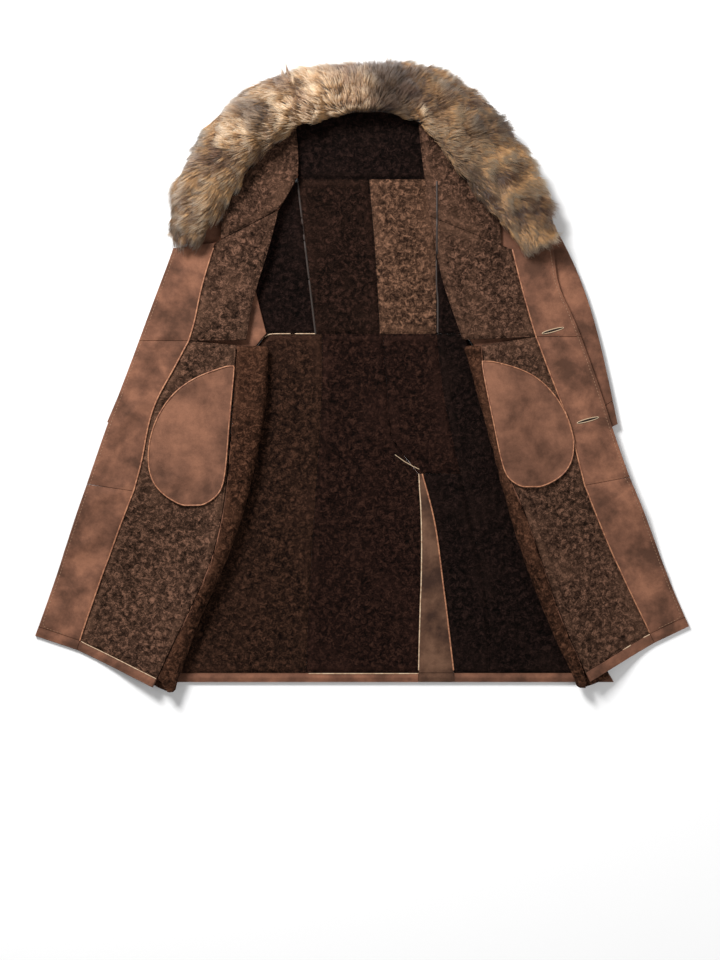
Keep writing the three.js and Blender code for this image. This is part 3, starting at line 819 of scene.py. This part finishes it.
def grow_hair(name, base, count, length, seed, centre):
    """Guard hairs on the upper side of a collar part, each a three-sided taper that bends with the lie."""
    random = np.random.default_rng(seed)
    mesh = base.data
    mesh.calc_loop_triangles()
    points = points_of(mesh)
    corners = np.array([t.vertices[:] for t in mesh.loop_triangles])
    a, b, c = (points[corners[:, k]] for k in range(3))
    cross = np.cross(b - a, c - a)
    area = np.linalg.norm(cross, axis=1)
    normal = cross / np.maximum(area, 1e-12)[:, None]
    weight = area * np.clip(normal[:, 2] + 0.45, 0.0, 1.0)
    pick = random.choice(len(corners), count, p=weight / weight.sum())
    u, v = random.random(count), random.random(count)
    fold = u + v > 1
    u[fold], v[fold] = 1 - u[fold], 1 - v[fold]
    root = a[pick] + u[:, None] * (b - a)[pick] + v[:, None] * (c - a)[pick]
    up = normal[pick]
    locks = noise_field(root, 16)
    swirl = noise_field(root, 34, (9, 2, 5))
    rows = noise_field(root * (1, 1, 0), 48, (4, 8, 1))
    flow = np.array([fur_flow(Vector(p), centre)[:] for p in root])
    side = np.cross(up, flow)
    lie = flow + side * (0.8 * swirl + 0.6 * locks + 0.16 * random.standard_normal(count))[:, None]
    lie -= up * np.sum(lie * up, axis=1)[:, None]
    lie = unit(lie)
    reach = length * (0.72 + 0.45 * random.random(count) + 0.35 * locks)
    stand = 0.42 + 0.25 * rows + 0.1 * random.standard_normal(count)
    first = unit(lie * 0.8 + up * np.clip(stand, 0.12, 0.9)[:, None])
    then = unit(lie + up * (0.1 + 0.15 * rows)[:, None] + np.array([0, 0, -0.16]))
    middle = root + first * (reach * 0.45)[:, None]
    tip = middle + then * (reach * 0.6)[:, None]
    lock = nearest_lock(root, random.choice(count, max(8, count // 26), replace=False))
    gather = (0.05 + 0.5 * random.random(count))[:, None]
    middle += (middle[lock] - middle) * gather * 0.45
    tip += (tip[lock] - tip) * gather
    tip[:, 2] = np.maximum(tip[:, 2], 2 * MM)
    middle[:, 2] = np.maximum(middle[:, 2], 2 * MM)
    width = 0.6 * MM * (0.7 + 0.6 * random.random(count))
    across = unit(np.cross(lie, up))
    vertices = np.empty((count, 7, 3))
    for k in range(3):
        turn = 2 * math.pi * k / 3
        offset = across * math.cos(turn) + up * math.sin(turn)
        vertices[:, k] = root - up * 1.5 * MM + offset * width[:, None]
        vertices[:, 3 + k] = middle + offset * (width * 0.8)[:, None]
    vertices[:, 6] = tip
    quads = np.array([[k, (k + 1) % 3, 3 + (k + 1) % 3, 3 + k] for k in range(3)])
    caps = np.array([[3 + k, 3 + (k + 1) % 3, 6] for k in range(3)] + [[2, 1, 0]])
    starts = np.arange(count) * 7
    faces = [tuple(q) for q in (quads[None] + starts[:, None, None]).reshape(-1, 4).tolist()]
    faces += [tuple(t) for t in (caps[None] + starts[:, None, None]).reshape(-1, 3).tolist()]
    hair = bpy.data.meshes.new(name)
    hair.from_pydata(vertices.reshape(-1, 3).tolist(), [], faces)
    lock_tone = random.random(count)[lock]
    tone = np.clip(0.3 + 0.75 * lock_tone + 0.9 * rows + 0.15 * random.standard_normal(count), 0, 1)
    shade = np.clip(1.7 * noise_field(root, 70, (1, 6, 3)) - 0.12, 0, 0.85)
    colours = np.empty((count, 7, 4))
    colours[:, :, 0] = [0, 0, 0, 0.5, 0.5, 0.5, 1]  # how far along the hair each corner is
    colours[:, :, 1] = tone[:, None]
    colours[:, :, 2] = shade[:, None]
    colours[:, :, 3] = 1
    layer = hair.color_attributes.new("strand", "FLOAT_COLOR", "POINT")
    layer.data.foreach_set("color", colours.ravel())
    hair.materials.append(finish("hair"))
    smooth_shade(hair)
    return place_object(name, hair)


# ---- settings -------------------------------------------------------------------------------------------
def colour_choice(name, description, hex_colour):
    """A colour of the coat that a user picks in the sidebar."""
    default = linear(hex_colour)[:3]
    return bpy.props.FloatVectorProperty(
        name=name, description=description, subtype="COLOR", size=3, min=0.0, max=1.0, default=default
    )


def length_choice(name, description, size_mm):
    """A length of the coat that a user sets in the sidebar."""
    return bpy.props.FloatProperty(
        name=name, description=description, default=size_mm * MM, unit="LENGTH", subtype="DISTANCE"
    )


class CoatSettings(bpy.types.PropertyGroup):
    """Sizes and colours that a user of the coat would change."""

    spacing: length_choice("Face size", "How long a face of the cloth is", 5.2)
    seam_depth: length_choice("Seam depth", "How far the wool goes down at a seam", 2.8)
    piping: length_choice("Piping", "Radius of the piping along the facings", 1.5)
    stitch: length_choice("Stitch length", "Length of a stitch on the surface", 4.2)
    hair_length: length_choice("Hair length", "Mean length of a guard hair", 34)
    hairs: bpy.props.IntProperty(
        name="Hairs", description="Guard hairs on each end of the collar", default=19000, min=100
    )
    suede: colour_choice("Suede", "Colour of the facings", "#774f3c")
    pocket_suede: colour_choice("Pocket suede", "Colour of the pocket bags", "#764f3c")
    piping_colour: colour_choice("Piping colour", "Lighter tone of the piping along the facings", "#b07a58")
    thread: colour_choice("Thread", "Colour of the buttonholes' thread", "#b39a7d")


class CoatOperator(bpy.types.Operator):
    """A step in dressing the coat."""

    bl_options = {"REGISTER", "UNDO"}

    @property
    def settings(self):
        return bpy.context.scene.coat

    def dress(self, nodes):
        for node in nodes:
            dress_sheet(node, self.settings)
        return {"FINISHED"}


class COAT_OT_back(CoatOperator):
    """Dress the back's panels, vent and hem."""

    bl_idname = "coat.back"
    bl_label = "Back"

    def execute(self, context):
        names = ("back", "hem_back", "hem_vent", "vent", "stand_back")
        return self.dress([n for n in SHEETS if n.startswith(names)])


class COAT_OT_sleeves(CoatOperator):
    """Dress both layers of the sleeves and their cuffs."""

    bl_idname = "coat.sleeves"
    bl_label = "Sleeves"

    def execute(self, context):
        return self.dress([n for n in SHEETS if n.startswith(("sleeve", "cuff"))])


class COAT_OT_fronts(CoatOperator):
    """Dress the fronts that are turned open, with their rolled sides, facings and neck strips."""

    bl_idname = "coat.fronts"
    bl_label = "Fronts"

    def execute(self, context):
        names = ("front", "facing", "hem_front", "hem_facing", "stand_left", "stand_right")
        return self.dress([n for n in SHEETS if n.startswith(names)])


class COAT_OT_pockets(CoatOperator):
    """Dress the pocket bags."""

    bl_idname = "coat.pockets"
    bl_label = "Pocket bags"

    def execute(self, context):
        return self.dress([n for n in SHEETS if n.startswith("pocket")])


class COAT_OT_piping(CoatOperator):
    """Lay the piping along the facings, the vent, the hem and the pocket bags."""

    bl_idname = "coat.piping"
    bl_label = "Piping"

    def execute(self, context):
        radius = self.settings.piping
        everything = upper_surface(SHEETS)

        def lay(name, line, lift, thick, material):
            laid = lay_on(everything, fine_line(line, TRIM_STEP), lift)
            keep(tube(name, laid, thick, material))

        for side in SIDES:
            line = seam_between(f"facing_{side}_top", f"front_upper_{side}")
            for part in ("middle", "lower"):
                line += seam_between(f"facing_{side}_{part}", f"front_lower_{side}")
            line.sort(key=lambda p: -p.y)
            lay(f"piping_facing_{side}", line, radius * 0.4, radius, "piping")
            self.outline_pocket(side, everything, radius)
        welts = [
            ("hem_back_left", "back_centre_left"),
            ("hem_front_left", "front_lower_left"),
            ("hem_front_right", "front_lower_right"),
            ("sleeve_left_under", "back_side_left"),
        ]
        for first, second in welts:
            lay(f"welt_{first}", seam_between(first, second), 0.2 * MM, 0.9 * MM, "pale_piping")
        for side in SIDES:
            line = seam_between(f"sleeve_{side}_under", f"back_upper_{side}", 3.5 * MM)
            lay(f"armhole_seam_{side}", line, -1.2 * MM, 2.6 * MM, "seam")
        line = seam_between("vent_facing", "back_centre_left")
        lay("piping_vent_left", line, radius * 0.5, radius * 0.8, "pale_piping")
        line = seam_between("vent_facing", "back_skirt_right")
        lay("piping_vent_right", line, radius * 0.7, radius, "piping")
        return {"FINISHED"}

    def outline_pocket(self, side, tree, radius):
        """The piping round a pocket bag's free edge."""
        mesh = cloth(f"pocket_bag_{side}").data
        points = [mesh.vertices[i].co.copy() for i in rim_of(mesh)]
        middle = sum(points, Vector()) / len(points)
        points.sort(key=lambda p: math.atan2(p.y - middle.y, p.x - middle.x))
        points = [p + (middle - p).normalized() * 1.2 * MM for p in points]
        points = fine_line(points + points[:1], TRIM_STEP)
        laid = lay_on(tree, points, radius * 0.3)
        keep(tube(f"piping_pocket_{side}", laid, radius * 0.85, "piping"))


class COAT_OT_stitches(CoatOperator):
    """Sew the topstitching, the buttonholes and the thread above the vent."""

    bl_idname = "coat.stitches"
    bl_label = "Stitches"

    def execute(self, context):
        everything = upper_surface(SHEETS)
        length = self.settings.stitch
        rows = []
        for side in SIDES:
            line = []
            for part in ("top", "middle", "lower"):
                line += self.outer_edge(f"facing_{side}_{part}", side)
            line.sort(key=lambda p: -p.y)
            sign = -1 if side == "left" else 1
            line = [p - Vector((sign * 6 * MM, 0, 0)) for p in line]
            rows.append(stitch_row(f"row_{side}", everything, line, length))
        keep(join(rows, "topstitch_facings"))
        holes = [((335, 82), (372, 92)), ((400, -84), (437, -74))]
        for number, (a, b) in enumerate(holes, 1):
            self.buttonhole(number, everything, [c * MM for c in a], [c * MM for c in b])
        ends = [(61, -143), (80, -158), (96, -165), (106, -170)]
        thread = [drop(everything, x * MM, y * MM, 0.8 * MM) for x, y in ends]
        keep(tube("thread_above_vent", fine_line(thread, 3 * MM), 0.8 * MM, "thread"))
        return {"FINISHED"}

    def outer_edge(self, node, side):
        """Points along a facing's outer edge, from the top down, without its two ends."""
        mesh = cloth(node).data
        points = [v.co.copy() for v in mesh.vertices if v.normal.z > 0.1]
        sign = -1 if side == "left" else 1
        by_height = {}
        for p in points:
            key = round(p.y / (10 * MM))
            if key not in by_height or sign * p.x > sign * by_height[key].x:
                by_height[key] = p
        return [by_height[k] for k in sorted(by_height, reverse=True)][1:-1]

    def buttonhole(self, number, tree, a, b):
        """A cut slit with thread sewn close round it."""
        a, b = Vector((*a, 0)), Vector((*b, 0))
        ahead = (b - a).normalized()
        across = Vector((-ahead.y, ahead.x, 0))
        line = [a.lerp(b, i / 12) for i in range(13)]
        slit = lay_on(tree, line, 0.25 * MM)
        keep(tube(f"buttonhole_{number}_slit", slit, 1.1 * MM, "slit"))
        loop = []
        for i in range(29):
            turn = 2 * math.pi * i / 28
            lengthways = ahead * math.cos(turn) * (b - a).length * 0.54
            loop.append(a.lerp(b, 0.5) + lengthways + across * math.sin(turn) * 2.6 * MM)
        laid = lay_on(tree, loop, 0.3 * MM)
        keep(tube(f"buttonhole_{number}_thread", laid, 0.85 * MM, "thread"))


class COAT_OT_buttons(CoatOperator):
    """Turn the horn buttons under the left front."""

    bl_idname = "coat.buttons"
    bl_label = "Buttons"

    def execute(self, context):
        for node in ("button_upper", "button_lower"):
            low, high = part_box(node)
            middle = (low + high) / 2
            deselect_all()
            radius, depth = (high.x - low.x) / 2, high.z - low.z
            bpy.ops.mesh.primitive_cylinder_add(vertices=48, radius=radius, depth=depth, location=middle)
            obj = bpy.context.object
            bpy.ops.object.transform_apply(location=True, rotation=True, scale=True)
            obj.name = f"{node}_turned"
            bpy.ops.object.mode_set(mode="EDIT")
            bpy.ops.mesh.select_all(action="SELECT")
            bpy.ops.mesh.bevel(offset=0.8 * MM, segments=2)
            bpy.ops.object.mode_set(mode="OBJECT")
            obj.data.materials.append(finish("horn"))
            smooth_shade(obj.data)
            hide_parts(node)
            keep(obj)
        return {"FINISHED"}


class COAT_OT_fur(CoatOperator):
    """Grow the fur collar: a soft underfur body and the guard hairs on it."""

    bl_idname = "coat.fur"
    bl_label = "Fur collar"

    def execute(self, context):
        settings = self.settings
        boxes = [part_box(f"fur_collar_{part}") for part in ("left", "back", "right")]
        low = Vector((min(b[0].x for b in boxes), min(b[0].y for b in boxes), 0))
        high = Vector((max(b[1].x for b in boxes), max(b[1].y for b in boxes), 0))
        centre = Vector(((low.x + high.x) / 2, low.y + 0.25 * (high.y - low.y), 0))
        for number, part in enumerate(("left", "back", "right")):
            node = f"fur_collar_{part}"
            base = merged_copy(node, f"{node}_underfur")
            crease_rims(base, math.radians(70))
            round_panel(base)
            points = points_of(base.data)
            floor_of_fur = points[:, 2].min()
            inward = np.zeros_like(points)
            inward[:, :2] = nearest_on_collar(points) - points[:, :2]
            inward[:, 2] = floor_of_fur + 8 * MM - points[:, 2]
            draw_in = 11 * MM + 4 * MM * lumps(points, 30, number)
            put_points(base.data, points + unit(inward) * draw_in[:, None])
            base.data.materials.append(finish("underfur"))
            smooth_shade(base.data)
            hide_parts(node)
            keep(base)
            count = int(settings.hairs * (0.75 if part == "back" else 1.0))
            name = f"{node}_guard_hair"
            keep(grow_hair(name, base, count, settings.hair_length, number + 5, centre))
        return {"FINISHED"}


class COAT_OT_stage(CoatOperator):
    """Set out the pale floor, the soft lights and the camera above the coat."""

    bl_idname = "coat.stage"
    bl_label = "Stage"

    def execute(self, context):
        deselect_all()
        bpy.ops.mesh.primitive_plane_add(size=14, location=(0, 0, -0.4 * MM))
        floor = bpy.context.object
        floor.name = "floor"
        material, _, shader, _ = new_material("Floor pale paper")
        shader.inputs["Base Color"].default_value = linear("#f4f4f4")
        shader.inputs["Roughness"].default_value = 0.9
        floor.data.materials.append(material)
        lights = [("overhead", (-1.6, 2.4, 2.4), 1.2, 230), ("fill", (2.4, -1.4, 3.0), 3.0, 45)]
        for name, at, size, power in lights:
            bpy.ops.object.light_add(type="AREA", location=at)
            light = bpy.context.object
            light.name = name
            light.data.size = size
            light.data.energy = power
            light.rotation_euler = (-light.location).to_track_quat("-Z", "Y").to_euler()
        world = bpy.data.worlds.new("studio")
        world.use_nodes = True
        world.node_tree.nodes["Background"].inputs["Color"].default_value = linear("#ffffff")
        world.node_tree.nodes["Background"].inputs["Strength"].default_value = 0.3
        bpy.context.scene.world = world
        bpy.context.scene.view_settings.view_transform = "Standard"
        # The view is straight down, from over the lower half, so that the coat fills the frame's width.
        bpy.ops.object.camera_add(location=(-0.004, -0.190, 4.2))
        camera = bpy.context.object
        camera.name = "camera"
        camera.data.sensor_width = 36
        camera.data.lens = 84.5
        bpy.context.scene.camera = camera
        return {"FINISHED"}


class COAT_PT_panel(bpy.types.Panel):
    """The coat's settings and its steps."""

    bl_label = "Shearling Coat"
    bl_space_type = "VIEW_3D"
    bl_region_type = "UI"
    bl_category = "Coat"

    def draw(self, context):
        for name in CoatSettings.__annotations__:
            self.layout.prop(context.scene.coat, name)
        for step in STEPS:
            self.layout.operator(step.bl_idname)


STEPS = (
    COAT_OT_back,
    COAT_OT_sleeves,
    COAT_OT_fronts,
    COAT_OT_pockets,
    COAT_OT_piping,
    COAT_OT_stitches,
    COAT_OT_buttons,
    COAT_OT_fur,
    COAT_OT_stage,
)
CLASSES = (CoatSettings, *STEPS, COAT_PT_panel)


def register():
    for item in CLASSES:
        bpy.utils.register_class(item)
    bpy.types.Scene.coat = bpy.props.PointerProperty(type=CoatSettings)


def unregister():
    del bpy.types.Scene.coat
    for item in reversed(CLASSES):
        bpy.utils.unregister_class(item)


def main():
    register()
    for step in STEPS:
        group, name = step.bl_idname.split(".")
        if getattr(getattr(bpy.ops, group), name)() != {"FINISHED"}:
            raise RuntimeError(f"{step.bl_label} did not finish")


if __name__ == "__main__":
    main()
